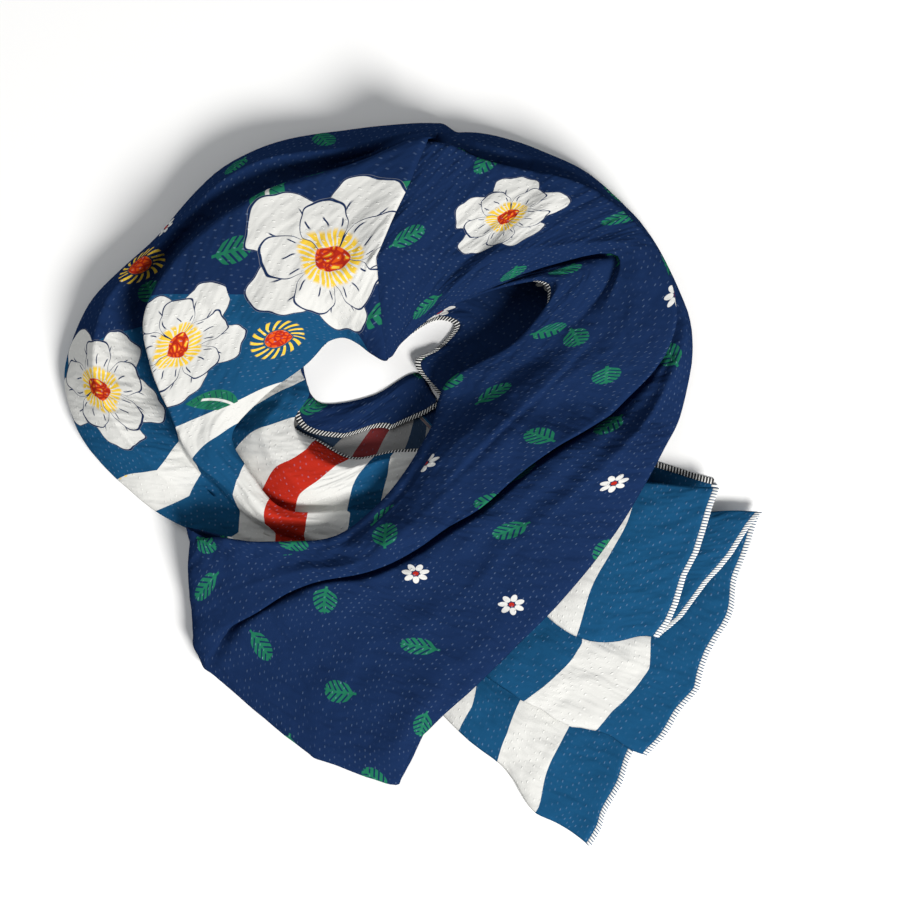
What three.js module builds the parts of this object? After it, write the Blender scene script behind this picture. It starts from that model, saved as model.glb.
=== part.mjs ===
// A long printed neck scarf, laid flat in a loose ring: one sheet of thin cloth, folded lengthwise
// once, with an overlocked hem on each of its four edges.
// Millimetres, +Z up. The origin is at the middle of the surface that the scarf lies on.
// The cloth is lofted: fold lines run along the scarf through every section, and each row of the
// cloth is a smooth curve across those fold lines.

import * as THREE from "three";

// Driving dimensions.
const layWidth = 482; // the laid scarf from left to right
const layDepth = 499; // the laid scarf from top to bottom
const crownHeight = 52; // the tallest ridge, above what it rests on
const clothThickness = 1;
const layerGap = 3; // free height that is kept between two strands that cross
const hemWidth = 3.4;
const hemThickness = 1.2;
const hemGap = 0.55; // between the cloth's cut edge and its overlock
const hemStop = 0.35; // the share of its last row that a hem leaves free at a corner
const foldRadius = 1.9; // half the width of a cloth fold that is pressed flat
const foldReach = 5; // a soft fold begins this far before its crest
const restReach = 12; // a strand keeps its full lift this far outside of what it crosses
const slopeLength = 46; // and comes down to the surface over this length

// The print's ground colours and the threads.
const colours = { cloth: 0x1b2f5c, darkThread: 0x15161c, whiteThread: 0xf1f1ee };

// The fold lines, in their order across the sheet, from one long edge to the other. A round one is
// a fold with its own radius. wall is how many points stand between it and the next one.
const foldLines = [
  { name: "first hem", wall: 0 },
  { name: "inner top", round: true, wall: 0 },
  { name: "inner brow", round: true, wall: 0 },
  { name: "inner valley", round: true, wall: 0 },
  { name: "main brow", round: true, wall: 0 },
  { name: "main crest", round: true, wall: 1 },
  { name: "main shoulder", round: true, wall: 0 },
  { name: "outer valley", round: true, wall: 0 },
  { name: "outer crest", round: true, wall: 1 },
  { name: "outer fold", round: true, wall: 2 },
  { name: "under layer", wall: 2 },
  { name: "second hem", wall: 0 },
];

// One row for each section, from the striped end round the ring to the plain end that is tucked
// under. inner and outer are the section's two sides in plan, as shares of layWidth and layDepth
// from the lower left corner. across places the fold lines from the inner side, 0, to the outer, 1.
// level is their height as a share of crownHeight. lead shifts a fold line along the scarf, towards
// the striped end, as a share of layWidth. rows is how many rows of cloth a section takes before the
// next one, where that isn't rowsPerSection.
const sections = [
  {
    name: "striped end", inner: [0.946, 0.489], outer: [0.742, 0.001], rows: 2,
    across: [0.1, 0.01, 0.44, 0.03, 0.22, 0.5, 0.72, 0.62, 0.84, 1, 0.5, 0],
    level: [0.27, 0.33, 0.31, 0.17, 0.13, 0.19, 0.18, 0.09, 0.13, 0.07, 0.012, 0.012],
    lead: [-0.03, -0.03, -0.025, 0.042, 0.047, 0.054, 0.024, 0.007, 0, 0, 0, -0.03],
  },
  {
    name: "first stripe", inner: [0.847, 0.508], outer: [0.671, 0.053], rows: 2,
    across: [0.12, 0.03, 0.5, 0.06, 0.25, 0.52, 0.74, 0.63, 0.86, 1, 0.5, -0.02],
    level: [0.29, 0.35, 0.34, 0.18, 0.14, 0.22, 0.21, 0.1, 0.14, 0.06, 0, 0.012],
    lead: [-0.022, -0.022, -0.03, 0.055, 0.057, 0.079, 0.04, 0.012, 0, 0, 0, -0.02],
  },
  {
    name: "second stripe", inner: [0.742, 0.522], outer: [0.61, 0.113], rows: 2,
    across: [0.07, 0.04, 0.47, 0.12, 0.28, 0.54, 0.78, 0.68, 0.9, 1, 0.5, -0.03],
    level: [0.25, 0.32, 0.33, 0.19, 0.16, 0.24, 0.22, 0.11, 0.15, 0.06, 0, 0.012],
    lead: [-0.014, -0.014, -0.014, 0.03, 0.05, 0.07, 0.02, 0.011, 0.007, 0, 0, -0.01],
  },
  {
    name: "under the band", inner: [0.579, 0.544], outer: [0.466, 0.244],
    across: [0.02, 0.05, 0.33, 0.24, 0.34, 0.5, 0.74, 0.7, 0.88, 1, 0.5, -0.158],
    level: [0.15, 0.25, 0.3, 0.21, 0.15, 0.19, 0.2, 0.11, 0.15, 0.07, 0, 0.012],
    lead: [0, 0, 0, 0, 0, 0, 0, 0, 0, 0, 0, -0.072],
  },
  {
    name: "turn start", inner: [0.473, 0.546], outer: [0.318, 0.366],
    across: [0.02, 0.07, 0.28, 0.46, 0.48, 0.56, 0.7, 0.76, 0.88, 1, 0.5, -0.415],
    level: [0.2, 0.34, 0.36, 0.22, 0.36, 0.42, 0.36, 0.2, 0.2, 0.1, 0, 0.012],
    lead: [0, 0, 0, 0, 0, 0, 0, 0, 0, 0, 0, -0.051],
  },
  {
    name: "turn low", inner: [0.411, 0.537], outer: [0.222, 0.417],
    across: [0.03, 0.12, 0.34, 0.62, 0.56, 0.63, 0.71, 0.75, 0.86, 1, 0.5, -0.3],
    level: [0.18, 0.48, 0.54, 0.22, 0.52, 0.62, 0.5, 0.26, 0.28, 0.13, 0, 0.012],
    lead: [0, 0, 0, 0, 0, 0, 0, 0, 0, 0, 0, -0.06],
  },
  {
    name: "turn left", inner: [0.377, 0.56], outer: [0.134, 0.46],
    across: [0.03, 0.14, 0.3, 0.53, 0.46, 0.53, 0.61, 0.67, 0.8, 1, 0.5, -0.026],
    level: [0.18, 0.54, 0.6, 0.22, 0.62, 0.76, 0.66, 0.3, 0.32, 0.15, 0, 0.012],
    lead: [0, 0, 0, 0, 0, 0, 0, 0, 0, 0, 0, -0.052],
  },
  {
    name: "lower left", inner: [0.36, 0.594], outer: [0.064, 0.516],
    across: [0.02, 0.12, 0.26, 0.48, 0.4, 0.49, 0.58, 0.64, 0.8, 1, 0.5, 0.017],
    level: [0.2, 0.46, 0.54, 0.24, 0.68, 0.86, 0.78, 0.36, 0.58, 0.16, 0, 0.012],
    lead: [0, 0, 0, 0, 0, 0, 0, 0, 0, 0, 0, -0.03],
  },
  {
    name: "left low", inner: [0.355, 0.625], outer: [0.016, 0.58],
    across: [0, 0.03, 0.13, 0.32, 0.22, 0.34, 0.54, 0.63, 0.82, 1, 0.5, 0.04],
    level: [0.18, 0.28, 0.4, 0.28, 0.62, 0.84, 0.9, 0.26, 0.74, 0.17, 0, 0.012],
    lead: [0, 0, 0, 0, 0, 0, 0, 0, 0, 0, 0, -0.02],
  },
  {
    name: "left", inner: [0.352, 0.661], outer: [0.001, 0.658],
    across: [0.02, 0.06, 0.12, 0.24, 0.03, 0.25, 0.57, 0.68, 0.86, 1, 0.5, 0.045],
    level: [0.1, 0.16, 0.26, 0.32, 0.5, 0.82, 0.94, 0.18, 0.72, 0.18, 0, 0.012],
    lead: [0, 0, 0, 0, 0, 0, 0, 0, 0, 0, 0, -0.006],
  },
  {
    name: "upper left", inner: [0.374, 0.693], outer: [0.035, 0.744],
    across: [0.04, 0.08, 0.14, 0.25, 0, 0.25, 0.64, 0.79, 0.92, 1, 0.5, 0.03],
    level: [0.1, 0.16, 0.26, 0.32, 0.46, 0.84, 0.97, 0.22, 0.6, 0.2, 0, 0.012],
  },
  {
    name: "top left", inner: [0.395, 0.699], outer: [0.12, 0.826], rows: 2,
    across: [0.05, 0.09, 0.15, 0.26, 0, 0.28, 0.74, 0.87, 0.94, 1, 0.5, 0.07],
    level: [0.1, 0.16, 0.26, 0.32, 0.44, 0.88, 0.96, 0.42, 0.58, 0.22, 0, 0.012],
  },
  {
    name: "top", inner: [0.414, 0.689], outer: [0.24, 0.941], rows: 2,
    across: [0.05, 0.09, 0.15, 0.26, 0, 0.32, 0.72, 0.85, 0.93, 1, 0.5, 0.08],
    level: [0.1, 0.16, 0.26, 0.32, 0.42, 0.9, 0.9, 0.5, 0.68, 0.22, 0, 0.012],
  },
  {
    name: "before the crease", inner: [0.434, 0.676], outer: [0.395, 0.982],
    across: [0.05, 0.09, 0.15, 0.26, 0, 0.36, 0.68, 0.82, 0.9, 1, 0.5, 0.08],
    level: [0.1, 0.16, 0.26, 0.32, 0.42, 0.94, 0.92, 0.44, 0.68, 0.24, 0, 0.012],
  },
  {
    name: "crease", inner: [0.453, 0.668], outer: [0.531, 0.996],
    across: [0.05, 0.09, 0.15, 0.26, 0, 0.38, 0.86, 0.9, 0.95, 0.985, 0.5, 0.1],
    level: [0.1, 0.16, 0.26, 0.32, 0.42, 0.98, 0.92, 0.6, 0.46, 0.2, 0, 0.012],
  },
  {
    name: "top right", inner: [0.476, 0.693], outer: [0.621, 0.974],
    across: [0.03, 0.07, 0.14, 0.25, 0, 0.4, 0.76, 0.86, 0.93, 1, 0.5, 0.06],
    level: [0.1, 0.16, 0.26, 0.32, 0.42, 0.78, 0.82, 0.52, 0.58, 0.22, 0, 0.02],
  },
  {
    name: "upper right", inner: [0.53, 0.729], outer: [0.742, 0.92],
    across: [0.06, 0.09, 0.14, 0.3, 0.06, 0.42, 0.84, 0.91, 0.96, 1, 0.5, 0],
    level: [0.2, 0.24, 0.32, 0.4, 0.56, 0.86, 0.84, 0.56, 0.46, 0.2, 0, 0.03],
  },
  {
    name: "corner", inner: [0.572, 0.726], outer: [0.833, 0.826],
    across: [0.42, 0.46, 0.66, 0.8, 0.78, 0.86, 0.94, 0.97, 0.985, 1, 0.5, -0.06],
    level: [0.58, 0.7, 0.78, 0.66, 0.82, 0.9, 0.82, 0.6, 0.44, 0.2, 0, 0.03],
  },
  {
    name: "right", inner: [0.581, 0.689], outer: [0.883, 0.71],
    across: [0.1, 0.18, 0.28, 0.38, 0.5, 0.66, 0.84, 0.92, 0.96, 1, 0.5, -0.17],
    level: [0.4, 0.5, 0.56, 0.58, 0.66, 0.76, 0.84, 0.5, 0.54, 0.2, 0, 0.012],
  },
  {
    name: "lower right", inner: [0.54, 0.639], outer: [0.871, 0.601],
    across: [0, 0.06, 0.13, 0.2, 0.3, 0.43, 0.6, 0.76, 0.88, 1, 0.5, -0.13],
    level: [0.22, 0.34, 0.42, 0.42, 0.58, 0.68, 0.58, 0.22, 0.52, 0.17, 0, 0.012],
    lead: [0, 0, 0, 0, 0, 0, 0, 0, 0, 0, 0, 0.023],
  },
  {
    name: "band upper", inner: [0.518, 0.574], outer: [0.833, 0.53],
    across: [0, 0.02, 0.06, 0.1, 0.15, 0.32, 0.5, 0.62, 0.8, 1, 0.5, 0.18],
    level: [0.12, 0.2, 0.3, 0.38, 0.46, 0.56, 0.5, 0.22, 0.4, 0.13, 0, 0.012],
  },
  {
    name: "band middle", inner: [0.452, 0.482], outer: [0.744, 0.394],
    across: [0, 0.02, 0.05, 0.07, 0.11, 0.2, 0.3, 0.37, 0.64, 1, 0.5, 0.17],
    level: [0.1, 0.16, 0.21, 0.28, 0.35, 0.42, 0.38, 0.17, 0.3, 0.1, 0, 0.012],
  },
  {
    name: "band low", inner: [0.381, 0.429], outer: [0.614, 0.26],
    across: [0, 0.025, 0.05, 0.08, 0.12, 0.18, 0.25, 0.31, 0.62, 1, 0.5, 0.16],
    level: [0.1, 0.16, 0.2, 0.25, 0.3, 0.35, 0.31, 0.14, 0.27, 0.1, 0, 0.012],
  },
  {
    name: "tail upper", inner: [0.287, 0.424], outer: [0.53, 0.184],
    across: [0, 0.025, 0.05, 0.09, 0.13, 0.17, 0.22, 0.27, 0.6, 1, 0.5, 0.16],
    level: [0.21, 0.25, 0.27, 0.3, 0.34, 0.37, 0.34, 0.27, 0.3, 0.2, 0.15, 0.15],
  },
  {
    name: "tail brow", inner: [0.225, 0.432], outer: [0.5, 0.15], rows: 1,
    across: [0, 0.02, 0.05, 0.09, 0.13, 0.17, 0.22, 0.28, 0.6, 1, 0.5, 0.22],
    level: [0.3, 0.33, 0.34, 0.35, 0.36, 0.37, 0.36, 0.31, 0.34, 0.28, 0.21, 0.21],
    lead: [0, -0.004, -0.01, -0.02, -0.03, -0.04, -0.055, -0.065, -0.055, -0.01, -0.04, 0],
  },
  {
    name: "tail lip", inner: [0.18, 0.441], outer: [0.482, 0.12], rows: 1,
    across: [0, 0.04, 0.08, 0.12, 0.16, 0.205, 0.28, 0.355, 0.66, 1.03, 0.5, 0.24],
    level: [0.26, 0.28, 0.29, 0.295, 0.3, 0.3, 0.3, 0.29, 0.3, 0.25, 0.18, 0.18],
    lead: [0, -0.01, -0.03, -0.048, -0.066, -0.082, -0.105, -0.118, -0.096, -0.025, -0.08, -0.02],
  },
  {
    name: "tail lower lip", inner: [0.18, 0.441], outer: [0.482, 0.12], rows: 1,
    across: [0, 0.04, 0.08, 0.12, 0.16, 0.205, 0.28, 0.355, 0.66, 1.03, 0.5, 0.24],
    level: [0.04, 0.03, 0.03, 0.02, 0.02, 0.02, 0.02, 0.02, 0.02, 0.06, 0.12, 0.12],
    lead: [0, -0.01, -0.03, -0.048, -0.066, -0.082, -0.105, -0.118, -0.096, -0.025, -0.08, -0.02],
  },
  {
    name: "tail turned", inner: [0.21, 0.434], outer: [0.493, 0.14], rows: 1,
    across: [0, 0.04, 0.08, 0.12, 0.16, 0.205, 0.28, 0.355, 0.66, 1.02, 0.5, 0.24],
    level: [0.02, 0.01, 0, 0, 0, 0, 0, 0, 0, 0.035, 0.11, 0.11],
    lead: [0, -0.006, -0.02, -0.036, -0.052, -0.066, -0.086, -0.096, -0.074, -0.01, -0.05, -0.014],
  },
  {
    name: "plain end", inner: [0.235, 0.43], outer: [0.503, 0.16], rows: 0,
    across: [0, 0.04, 0.08, 0.12, 0.16, 0.205, 0.27, 0.34, 0.64, 1.01, 0.5, 0.24],
    level: [0.02, 0.01, 0, 0, 0, 0, 0, 0, 0, 0.035, 0.11, 0.11],
    lead: [0, -0.002, -0.012, -0.026, -0.04, -0.052, -0.068, -0.076, -0.054, 0, -0.03, -0.008],
  },
];

// The strand that lies on the other one where they cross, and the one that it lies on.
const crossing = {
  upper: { first: "right", last: "plain end" },
  lower: { first: "striped end", last: "turn left" },
};

const rowsPerSection = 3;

const indexOf = (name) => sections.findIndex((section) => section.name === name);

// A fold line's point in one section, before the section is set on what it rests on.
function foldPoint(section, line) {
  const corner = ([x, y]) => new THREE.Vector3(x * layWidth, y * layDepth, 0);
  const inner = corner(section.inner);
  const side = corner(section.outer).sub(inner);
  const forward = new THREE.Vector3(-side.y, side.x, 0).normalize();
  const point = inner.addScaledVector(side, section.across[line]);
  point.addScaledVector(forward, (section.lead ? section.lead[line] : 0) * layWidth);
  point.z = section.level[line] * crownHeight;
  return point;
}

// The points of one row of cloth: its fold points, with each fold rounded off. tangents holds the
// fold lines' own directions, because a fold opens square to its line.
function foldedRow(points, tangents) {
  const corners = [];
  const spots = [];
  points.forEach((point, line) => {
    spots.push(corners.length);
    if (!foldLines[line].round) {
      corners.push(point);
      return;
    }
    const before = point.clone().sub(points[line - 1]);
    const after = points[line + 1].clone().sub(point);
    const reach = Math.min(foldReach, before.length() / 3, after.length() / 3);
    before.normalize();
    after.normalize();
    const squareBefore = before.clone().projectOnPlane(tangents[line]).normalize();
    const squareAfter = after.clone().projectOnPlane(tangents[line]).normalize();
    const sharpness = Math.max(0, -squareBefore.dot(squareAfter));
    const sideways = squareBefore.add(squareAfter).normalize().multiplyScalar(foldRadius * sharpness);
    corners.push(point.clone().addScaledVector(before, -reach).sub(sideways));
    corners.push(point);
    corners.push(point.clone().addScaledVector(after, reach).add(sideways));
    spots[line] = corners.length - 1;
  });
  const curve = new THREE.CatmullRomCurve3(corners, false, "centripetal");
  const row = [];
  let from = 0;
  foldLines.forEach(({ wall }, line) => {
    for (let k = from; k <= spots[line]; k++) row.push(corners[k].clone());
    from = spots[line] + 1;
    for (let k = 1; k <= wall; k++) {
      row.push(curve.getPoint((spots[line] + k / (wall + 1)) / (corners.length - 1)));
    }
  });
  return row;
}

// Where each row of cloth stands, counted in sections from the striped end.
function rowPlaces() {
  const places = [];
  sections.forEach(({ rows: count = rowsPerSection }, section) => {
    for (let row = 0; row < count; row++) places.push(section + row / count);
  });
  places.push(sections.length - 1);
  return places;
}

// The cloth's middle surface, as rows of points across the sheet.
function loftRows() {
  const along = foldLines.map((_, line) =>
    new THREE.CatmullRomCurve3(sections.map((section) => foldPoint(section, line)), false, "centripetal"));
  return rowPlaces().map((place) => {
    const share = place / (sections.length - 1);
    return foldedRow(along.map((curve) => curve.getPoint(share)), along.map((curve) => curve.getTangent(share)));
  });
}

// Points spread over a strand, close enough together for another strand to rest on them.
function restPoints(rows) {
  const spread = [];
  for (const row of rows) {
    for (let j = 0; j + 1 < row.length; j++) {
      const count = Math.ceil(row[j].distanceTo(row[j + 1]) / restReach);
      for (let k = 0; k < count; k++) spread.push(row[j].clone().lerp(row[j + 1], k / count));
    }
  }
  return spread;
}

// How far a strand lifts the cloth that is laid over it at (x, y).
function liftOver(points, x, y) {
  let lift = 0;
  for (const point of points) {
    const apart = Math.hypot(point.x - x, point.y - y) - restReach;
    if (apart > slopeLength) continue;
    const fade = 1 - THREE.MathUtils.smoothstep(apart, 0, slopeLength);
    lift = Math.max(lift, (point.z + clothThickness + layerGap) * fade);
  }
  return lift;
}

// Sets the cloth on the surface, and the upper strand on the lower one.
function layDown(rows) {
  const places = rowPlaces();
  const within = (row, strand) =>
    places[row] >= indexOf(strand.first) && places[row] <= indexOf(strand.last);
  rows.flat().forEach((point) => {
    point.z = Math.max(point.z, 0) + clothThickness / 2;
  });
  const lower = restPoints(rows.filter((_, row) => within(row, crossing.lower)));
  rows.forEach((row, i) => {
    if (!within(i, crossing.upper)) return;
    row.forEach((point) => {
      point.z += liftOver(lower, point.x, point.y);
    });
  });
  return rows;
}

// Unit normals of a grid of points, on the printed side of the cloth.
function normalsOf(rows) {
  const at = (i, j) => rows[THREE.MathUtils.clamp(i, 0, rows.length - 1)][THREE.MathUtils.clamp(j, 0, rows[0].length - 1)];
  return rows.map((row, i) => row.map((_, j) => {
    const along = at(i + 1, j).clone().sub(at(i - 1, j));
    const across = at(i, j + 1).clone().sub(at(i, j - 1));
    return across.cross(along).normalize();
  }));
}

// A closed solid between two grids of the same size, top over bottom.
function solidBetween(top, bottom) {
  const columns = top[0].length;
  const count = top.length * columns;
  const positions = [...top.flat(), ...bottom.flat()].flatMap((point) => point.toArray());
  const index = [];
  const quad = (a, b, c, d) => index.push(a, b, c, a, c, d);
  for (let i = 0; i + 1 < top.length; i++) {
    for (let j = 0; j + 1 < columns; j++) {
      const corner = i * columns + j;
      quad(corner, corner + 1, corner + columns + 1, corner + columns);
      quad(corner + count, corner + columns + count, corner + columns + 1 + count, corner + 1 + count);
    }
  }
  const rim = [];
  for (let j = 0; j + 1 < columns; j++) rim.push(j);
  for (let i = 0; i + 1 < top.length; i++) rim.push(i * columns + columns - 1);
  for (let j = columns - 1; j > 0; j--) rim.push((top.length - 1) * columns + j);
  for (let i = top.length - 1; i > 0; i--) rim.push(i * columns);
  rim.forEach((a, k) => {
    const b = rim[(k + 1) % rim.length];
    quad(b, a, a + count, b + count);
  });
  const geometry = new THREE.BufferGeometry();
  geometry.setAttribute("position", new THREE.Float32BufferAttribute(positions, 3));
  geometry.setIndex(index);
  return geometry;
}

const offset = (rows, normals, distance) =>
  rows.map((row, i) => row.map((point, j) => point.clone().addScaledVector(normals[i][j], distance)));

// An overlocked hem: a flat bead that runs along one cut edge, just outside of the cloth.
// edge holds the cloth's edge points, within the next points in from them. It stops a little short
// of its ends, where the next hem starts.
function hemSolid(edge, within, normals) {
  const last = edge.length - 1;
  const pulled = edge.map((point) => point.clone());
  pulled[0].lerp(edge[1], hemStop);
  pulled[last].lerp(edge[last - 1], hemStop);
  const outward = edge.map((point, k) => {
    const tangent = edge[Math.min(k + 1, last)].clone().sub(edge[Math.max(k - 1, 0)]).normalize();
    const out = tangent.cross(normals[k]).normalize();
    return out.dot(point.clone().sub(within[k])) < 0 ? out.negate() : out;
  });
  const rail = (distance, height) => pulled.map((point, k) =>
    point.clone().addScaledVector(outward[k], distance).addScaledVector(normals[k], height));
  const pairs = (height) => {
    const near = rail(hemGap, height);
    const far = rail(hemGap + hemWidth, height);
    return near.map((point, k) => [point, far[k]]);
  };
  return solidBetween(pairs(hemThickness / 2), pairs(-hemThickness / 2));
}

const rows = layDown(loftRows());
const normals = normalsOf(rows);
const half = clothThickness / 2;
const scarf = new THREE.Group();
const cloth = (colour) => new THREE.MeshStandardMaterial({ color: colour, roughness: 0.85, metalness: 0 });

function addPiece(name, geometry, colour) {
  const mesh = new THREE.Mesh(geometry, cloth(colour));
  mesh.name = name;
  scarf.add(mesh);
}

addPiece("cloth", solidBetween(offset(rows, normals, half), offset(rows, normals, -half)), colours.cloth);

// Each edge with the row of points next to it, both in the order that keeps the cloth on their left.
// The long hems stop where the plain end turns under.
const column = (grid, j) => grid.map((row) => row[j]);
const backwards = (points) => [...points].reverse();
const lastColumn = rows[0].length - 1;
const lastRow = rowPlaces().indexOf(indexOf("tail brow")) + 1;
const upTo = (points) => points.slice(0, lastRow);
const edges = [
  { name: "first_long_hem", colour: colours.darkThread, of: (grid) => [column(grid, 0), column(grid, 1)].map(upTo).map(backwards) },
  { name: "second_long_hem", colour: colours.darkThread, of: (grid) => [column(grid, lastColumn), column(grid, lastColumn - 1)].map(upTo) },
  { name: "striped_end_hem", colour: colours.whiteThread, of: (grid) => [grid[0], grid[1]] },
  { name: "plain_end_hem", colour: colours.whiteThread, of: (grid) => [grid.at(-1), grid.at(-2)].map(backwards) },
];
for (const { name, of, colour } of edges) {
  const [edge, within] = of(rows);
  addPiece(name, hemSolid(edge, within, of(normals)[0]), colour);
}

// The origin is at the middle of the scarf's own box, on the surface.
const box = new THREE.Box3().setFromObject(scarf);
const middle = box.getCenter(new THREE.Vector3()).setZ(box.min.z);
for (const mesh of scarf.children) mesh.geometry.translate(-middle.x, -middle.y, -middle.z);

export default scarf;
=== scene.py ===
import math
import bpy
import bmesh
import numpy as np
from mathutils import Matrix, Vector, noise


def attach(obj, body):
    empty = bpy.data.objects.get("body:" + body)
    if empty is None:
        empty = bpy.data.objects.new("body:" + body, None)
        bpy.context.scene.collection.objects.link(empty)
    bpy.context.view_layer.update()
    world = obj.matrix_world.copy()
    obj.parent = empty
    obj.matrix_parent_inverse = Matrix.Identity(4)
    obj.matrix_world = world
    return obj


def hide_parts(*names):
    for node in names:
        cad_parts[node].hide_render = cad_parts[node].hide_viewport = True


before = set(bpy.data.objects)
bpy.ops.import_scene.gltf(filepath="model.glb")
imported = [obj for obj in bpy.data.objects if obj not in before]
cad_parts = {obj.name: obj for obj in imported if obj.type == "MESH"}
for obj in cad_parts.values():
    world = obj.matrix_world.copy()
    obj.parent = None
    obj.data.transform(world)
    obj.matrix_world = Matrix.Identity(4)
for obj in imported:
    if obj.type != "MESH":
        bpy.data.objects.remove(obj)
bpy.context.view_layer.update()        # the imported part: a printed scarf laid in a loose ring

scene = bpy.context.scene
print("scarf: frame loaded")


# The camera straight above, the white surface and the light.
studio = {
    "viewWidth": 0.6127,            # metres across the picture, at the cloth
    "viewCentre": (0.0244, 0.0261),
    "cameraHeight": 1.5, "clothHeight": 0.01,
    "surface": (0.93, 0.93, 0.925), "surfaceRoughness": 0.7, "surfaceSize": 6.0,
    "room": (0.97, 0.985, 1.0, 1.0), "roomStrength": 0.235,
}
lights = {
    "keyLight": {"place": (1.75, -2.25, 2.55), "size": 1.5, "power": 198.0, "colour": (1.0, 0.985, 0.965)},
    "fillLight": {"place": (-1.6, 1.5, 2.6), "size": 2.4, "power": 22.0, "colour": (0.95, 0.975, 1.0)},
}

cameraData = bpy.data.cameras.new("overheadCamera")
camera = bpy.data.objects.new("overheadCamera", cameraData)
scene.collection.objects.link(camera)
scene.camera = camera
cameraData.sensor_fit = "HORIZONTAL"
viewDistance = studio["cameraHeight"] - studio["clothHeight"]
cameraData.lens = cameraData.sensor_width * viewDistance / studio["viewWidth"]
camera.location = (*studio["viewCentre"], studio["cameraHeight"])


def plainMaterial(name, colour, roughness, others=()):
    # a material, and the inputs of its shader
    material = bpy.data.materials.new(name)
    material.use_nodes = True
    inputs = material.node_tree.nodes["Principled BSDF"].inputs
    for socket, value in {"Base Color": (*colour, 1.0), "Roughness": roughness, **dict(others)}.items():
        inputs[socket].default_value = value
    return material, inputs


def areaLight(name, place, size, power, colour):
    # a round lamp that looks at the origin
    data = bpy.data.lights.new(name, "AREA")
    data.shape = "DISK"
    data.size = size
    data.energy = power
    data.color = colour
    light = bpy.data.objects.new(name, data)
    light.location = place
    light.rotation_euler = (-Vector(place)).to_track_quat("-Z", "Y").to_euler()
    scene.collection.objects.link(light)


def finishPiece(name, mesh, materials):
    data = bpy.data.meshes.new(name)
    mesh.to_mesh(data)
    mesh.free()
    for material in materials:
        data.materials.append(material)
    piece = bpy.data.objects.new(name, data)
    scene.collection.objects.link(piece)
    for polygon in data.polygons:
        polygon.use_smooth = True
    return piece


floorMesh = bmesh.new()
bmesh.ops.create_grid(floorMesh, x_segments=1, y_segments=1, size=studio["surfaceSize"])
paleSurface = plainMaterial("paleSurface", studio["surface"], studio["surfaceRoughness"])[0]
floor = finishPiece("tableSurface", floorMesh, [paleSurface])

for lightName, values in lights.items():
    areaLight(lightName, **values)
world = bpy.data.worlds.new("softRoom")
scene.world = world
world.use_nodes = True
background = world.node_tree.nodes["Background"].inputs
background["Color"].default_value = studio["room"]
background["Strength"].default_value = studio["roomStrength"]
scene.view_settings.view_transform = "Standard"
print("scarf: camera, surface and light")


# The laid cloth.
laid = {
    "width": 0.482, "depth": 0.499, "crown": 0.052,
    "cloth": 0.0007,           # the printed cloth's own thickness
    "foldHalf": 0.0017, "foldReach": 0.005,
    "restReach": 0.012, "slope": 0.046, "layerGap": 0.003, "cadCloth": 0.001,
    "rowsPerSection": 10, "rowsInTail": 5, "rowsInPleat": 12,
    "shift": (-0.2377, -0.2465),   # from the laid size's corner to the part's own middle
}

# The cross pleat: the cloth before the crease overlaps the cloth after it, where the outer folds step
# back by dip and give the outline a peak. span, dipSpan and dipEdge count sections.
pleat = {
    "span": 0.42, "under": 0.01, "lip": 0.0045, "rise": 0.028, "fall": 0.003,
    "dip": 0.0075, "dipSpan": 2.0, "dipEdge": 0.16, "turn": 0.45,
}
# How far the second long edge is turned back over the bottom layer, where it shows in the opening.
turnedBack = {
    "turn start": 0.04, "turn low": 0.034, "turn left": 0.018, "lower left": 0.01, "left low": 0.006,
}
turnedLift = 0.0026     # how high the turned edge lies on its own layer
turnedLeast = 0.0005    # rows that turn back by less stay flat

# The fold lines across the sheet: its name, whether it is a round fold, and how many steps the wall
# after it takes.
foldLines = [
    ("first hem", False, 5), ("inner top", True, 7), ("inner brow", True, 9), ("inner valley", True, 7),
    ("main brow", True, 9), ("main crest", True, 13), ("main shoulder", True, 8), ("outer valley", True, 16),
    ("outer crest", True, 11), ("outer fold", True, 12), ("under layer", False, 18),
    ("second hem", False, 0),
]
innerTop, innerValley, mainBrow, mainCrest, outerValley, outerCrest, outerFold = 1, 3, 4, 5, 7, 8, 9
underLayer, secondHem = 10, 11
foldSteps = 2  # steps on each side of a round fold's crest
wallEase = {"outer valley": 1.6}  # above 1, the wall's steps are shorter near the fold

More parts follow.
